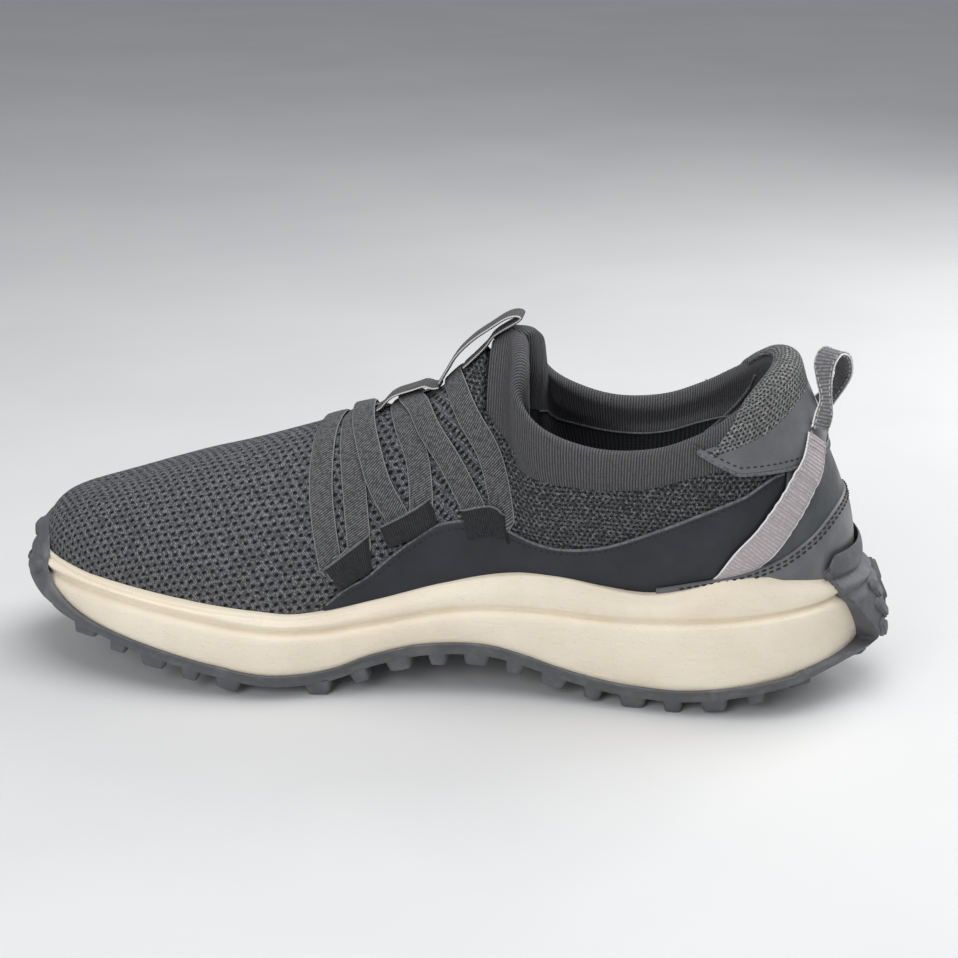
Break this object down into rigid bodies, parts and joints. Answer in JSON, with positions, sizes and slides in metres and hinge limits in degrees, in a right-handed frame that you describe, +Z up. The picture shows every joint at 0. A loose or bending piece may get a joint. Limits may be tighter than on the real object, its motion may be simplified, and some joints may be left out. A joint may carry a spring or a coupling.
{
  "type": "golf shoe",
  "caption": "Spikeless slip-on golf shoe, right foot: knit upper with elastic lace, cupped foam midsole and lugged rubber outsole with a heel pull loop.",
  "frame": {"origin": "on the ground, at the middle of the bounding box of the shoe standing on its lugs", "axes": "+X to the toe, +Y to the inner (medial) side, +Z up"},
  "size_m": [0.3004, 0.1039, 0.1273],
  "materials": {
    "outsole_rubber": "moulded dark grey rubber, matt",
    "midsole_foam": "moulded foam, cream, satin with fine creases",
    "board": "non-woven board",
    "footbed_fabric": "brushed fabric on foam",
    "knit": "open mesh knit, charcoal",
    "lining": "rib knit, black",
    "stiffener": "thermoplastic sheet",
    "padding_foam": "soft foam",
    "rib_knit": "tubular rib knit, charcoal",
    "smooth_overlay": "smooth fused overlay, satin",
    "heel_leather": "fine grain leather, satin",
    "webbing": "grosgrain webbing, grey",
    "elastic": "flat woven elastic",
    "keeper_tape": "grosgrain tape, dark",
    "heel_webbing": "grosgrain ribbon, light grey"
  },
  "bodies": {
    "rearfoot": {"outsole_heel": "outsole_rubber", "midsole_heel": "midsole_foam", "strobel_board_heel": "board", "footbed_heel": "footbed_fabric", "vamp_flex_zone": "knit", "quarter_knit": "knit", "quarter_lining": "lining", "heel_counter": "stiffener", "collar_padding": "padding_foam", "collar_band": "rib_knit", "saddle_medial": "smooth_overlay", "saddle_lateral": "smooth_overlay", "heel_panel": "heel_leather", "heel_foxing": "heel_leather", "heel_collar_patch": "heel_leather", "vamp_strip": "webbing", "front_pull_tab": "webbing", "elastic_lace": "elastic", "lace_keepers_medial": "keeper_tape", "lace_keepers_lateral": "keeper_tape", "heel_strap_medial": "heel_webbing", "heel_strap_lateral": "heel_webbing"},
    "forefoot": {"outsole_forefoot": "outsole_rubber", "midsole_forefoot": "midsole_foam", "strobel_board_forefoot": "board", "footbed_forefoot": "footbed_fabric", "toe_box_knit": "knit", "toe_lining": "lining", "toe_puff": "stiffener"},
    "pull_loop": {"heel_pull_loop": "heel_webbing"}
  },
  "joints": [
    {"name": "toe_flex", "type": "hinge", "parent": "rearfoot", "child": "forefoot", "pos_m": [0.055, 0, 0.0305], "axis": [0, -1, 0], "range_deg": [0, 30], "stiffness_Nm_per_rad": 6, "deforming": ["vamp_flex_zone"]},
    {"name": "pull_loop_lean", "type": "hinge", "parent": "rearfoot", "child": "pull_loop", "pos_m": [-0.124, 0, 0.0932], "axis": [0, -1, 0], "range_deg": [-5, 60], "stiffness_Nm_per_rad": 0.003}
  ]
}
